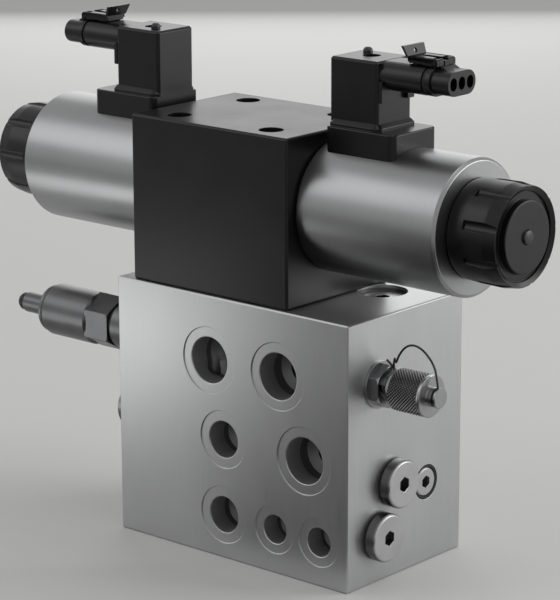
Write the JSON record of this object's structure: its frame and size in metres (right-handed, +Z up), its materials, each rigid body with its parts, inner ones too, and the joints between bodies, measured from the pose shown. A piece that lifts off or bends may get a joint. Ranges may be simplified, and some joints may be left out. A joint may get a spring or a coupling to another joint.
{
  "type": "closed-center hydraulic valve",
  "caption": "Solenoid-operated closed-center directional valve on a drilled manifold block with threaded ports, a relief cartridge and a capped test point.",
  "frame": {"origin": "middle of the manifold block's base face", "axes": "+X along the spool axis towards the right-hand coil, +Z up, the seven pipe ports face -Y"},
  "size_m": [0.2928, 0.08, 0.2358],
  "materials": {
    "block_metal": "milled, satin",
    "valve_black": "matte black phosphate",
    "coil_steel": "satin zinc-nickel plate",
    "zinc_steel": "bright zinc plate",
    "hard_steel": "ground",
    "black_steel": "black oxide",
    "spring_steel": "drawn wire",
    "black_plastic": "fine moulded",
    "black_rubber": "matte",
    "copper": "enamelled wire",
    "contact_brass": "plain"
  },
  "bodies": {
    "block": {"manifold_block": "block_metal", "valve_body": "valve_black", "mounting_screws": "black_steel", "interface_orings": "black_rubber", "armature_tube_right": "hard_steel", "coil_shell_right": "coil_steel", "coil_winding_right": "copper", "terminal_housing_right": "black_plastic", "connector_plug_right": "black_plastic", "centering_spring_right": "spring_steel", "override_spring_right": "spring_steel", "armature_tube_left": "hard_steel", "coil_shell_left": "coil_steel", "coil_winding_left": "copper", "terminal_housing_left": "black_plastic", "connector_plug_left": "black_plastic", "centering_spring_left": "spring_steel", "override_spring_left": "spring_steel", "coil_nut_seals": "black_rubber", "terminal_screws": "black_steel", "contact_pins": "contact_brass", "connector_seals": "black_rubber", "relief_body": "zinc_steel", "relief_seat": "hard_steel", "relief_spring": "spring_steel", "test_port_body": "zinc_steel", "test_port_spring": "spring_steel", "test_cap_tether": "spring_steel", "collared_plugs": "zinc_steel", "collared_plug_seals": "black_rubber", "flush_plugs": "zinc_steel", "top_plug": "zinc_steel", "check_seat": "hard_steel", "check_spring": "spring_steel", "priority_spring": "spring_steel"},
    "spool": {"main_spool": "hard_steel", "spring_seat_right": "hard_steel", "spring_seat_left": "hard_steel"},
    "armature_right": {"armature_right": "hard_steel", "push_pin_right": "hard_steel"},
    "coil_nut_right": {"coil_nut_right": "black_plastic"},
    "override_right": {"override_pin_right": "black_steel"},
    "latch_right": {"plug_latch_right": "black_plastic"},
    "armature_left": {"armature_left": "hard_steel", "push_pin_left": "hard_steel"},
    "coil_nut_left": {"coil_nut_left": "black_plastic"},
    "override_left": {"override_pin_left": "black_steel"},
    "latch_left": {"plug_latch_left": "black_plastic"},
    "relief_adjuster": {"relief_adjuster": "zinc_steel"},
    "relief_lock_nut": {"relief_lock_nut": "black_steel"},
    "relief_poppet": {"relief_poppet": "hard_steel"},
    "test_cap": {"test_cap": "zinc_steel"},
    "test_port_poppet": {"test_port_poppet": "hard_steel"},
    "check_poppet": {"check_poppet": "hard_steel"},
    "priority_spool": {"priority_spool": "hard_steel"},
    "shuttle_ball": {"shuttle_ball": "hard_steel"}
  },
  "joints": [
    {"name": "spool_slide", "type": "slide", "parent": "block", "child": "spool", "axis": [1, 0, 0], "range_m": [-0.0055, 0.0055], "stiffness_N_per_m": 6000, "deforming": ["centering_spring_right", "centering_spring_left"]},
    {"name": "armature_slide_right", "type": "slide", "parent": "block", "child": "armature_right", "axis": [1, 0, 0], "range_m": [-0.0055, 0.0055]},
    {"name": "armature_slide_left", "type": "slide", "parent": "block", "child": "armature_left", "axis": [1, 0, 0], "range_m": [-0.0055, 0.0055]},
    {"name": "override_push_right", "type": "slide", "parent": "block", "child": "override_right", "axis": [1, 0, 0], "range_m": [-0.0053, 0], "stiffness_N_per_m": 700, "springref_m": 0.002, "deforming": ["override_spring_right"]},
    {"name": "override_push_left", "type": "slide", "parent": "block", "child": "override_left", "axis": [1, 0, 0], "range_m": [0, 0.0053], "stiffness_N_per_m": 700, "springref_m": -0.002, "deforming": ["override_spring_left"]},
    {"name": "coil_nut_turn_right", "type": "hinge", "parent": "block", "child": "coil_nut_right", "pos_m": [0.12, -0.0038, 0.162], "axis": [1, 0, 0], "continuous": true},
    {"name": "coil_nut_turn_left", "type": "hinge", "parent": "block", "child": "coil_nut_left", "pos_m": [-0.1468, -0.0038, 0.162], "axis": [1, 0, 0], "continuous": true},
    {"name": "latch_hinge_right", "type": "hinge", "parent": "block", "child": "latch_right", "pos_m": [0.0884, -0.0038, 0.2301], "axis": [0, 1, 0], "range_deg": [0, 8], "stiffness_Nm_per_rad": 0.002, "springref_deg": -8.59},
    {"name": "latch_hinge_left", "type": "hinge", "parent": "block", "child": "latch_left", "pos_m": [-0.1152, -0.0038, 0.2301], "axis": [0, -1, 0], "range_deg": [0, 8], "stiffness_Nm_per_rad": 0.002, "springref_deg": -8.59},
    {"name": "relief_adjust_turn", "type": "hinge", "parent": "block", "child": "relief_adjuster", "pos_m": [-0.1429, -0.0186, 0.09], "axis": [-1, 0, 0], "range_deg": [-720, 720]},
    {"name": "relief_lock_nut_turn", "type": "hinge", "parent": "block", "child": "relief_lock_nut", "pos_m": [-0.1296, -0.0186, 0.09], "axis": [-1, 0, 0], "continuous": true},
    {"name": "relief_poppet_slide", "type": "slide", "parent": "block", "child": "relief_poppet", "axis": [-1, 0, 0], "range_m": [0, 0.0015], "stiffness_N_per_m": 2500, "springref_m": -0.004, "deforming": ["relief_spring"]},
    {"name": "test_cap_turn", "type": "hinge", "parent": "block", "child": "test_cap", "pos_m": [0.086, -0.0186, 0.09], "axis": [1, 0, 0], "continuous": true},
    {"name": "test_port_poppet_slide", "type": "slide", "parent": "block", "child": "test_port_poppet", "axis": [-1, 0, 0], "range_m": [0, 0.0015], "stiffness_N_per_m": 60, "springref_m": -0.004, "deforming": ["test_port_spring"]},
    {"name": "check_poppet_slide", "type": "slide", "parent": "block", "child": "check_poppet", "axis": [0, 0, -1], "range_m": [0, 0.004], "stiffness_N_per_m": 400, "springref_m": -0.006, "deforming": ["check_spring"]},
    {"name": "priority_spool_slide", "type": "slide", "parent": "block", "child": "priority_spool", "axis": [-1, 0, 0], "range_m": [0, 0.004], "stiffness_N_per_m": 1000, "springref_m": -0.004, "deforming": ["priority_spring"]},
    {"name": "shuttle_ball_slide", "type": "slide", "parent": "block", "child": "shuttle_ball", "axis": [1, 0, 0], "range_m": [-0.002, 0.002]}
  ],
  "couplings": [
    {"joint": "armature_slide_right", "follows": "spool_slide", "ratio": 1},
    {"joint": "armature_slide_left", "follows": "spool_slide", "ratio": 1}
  ]
}
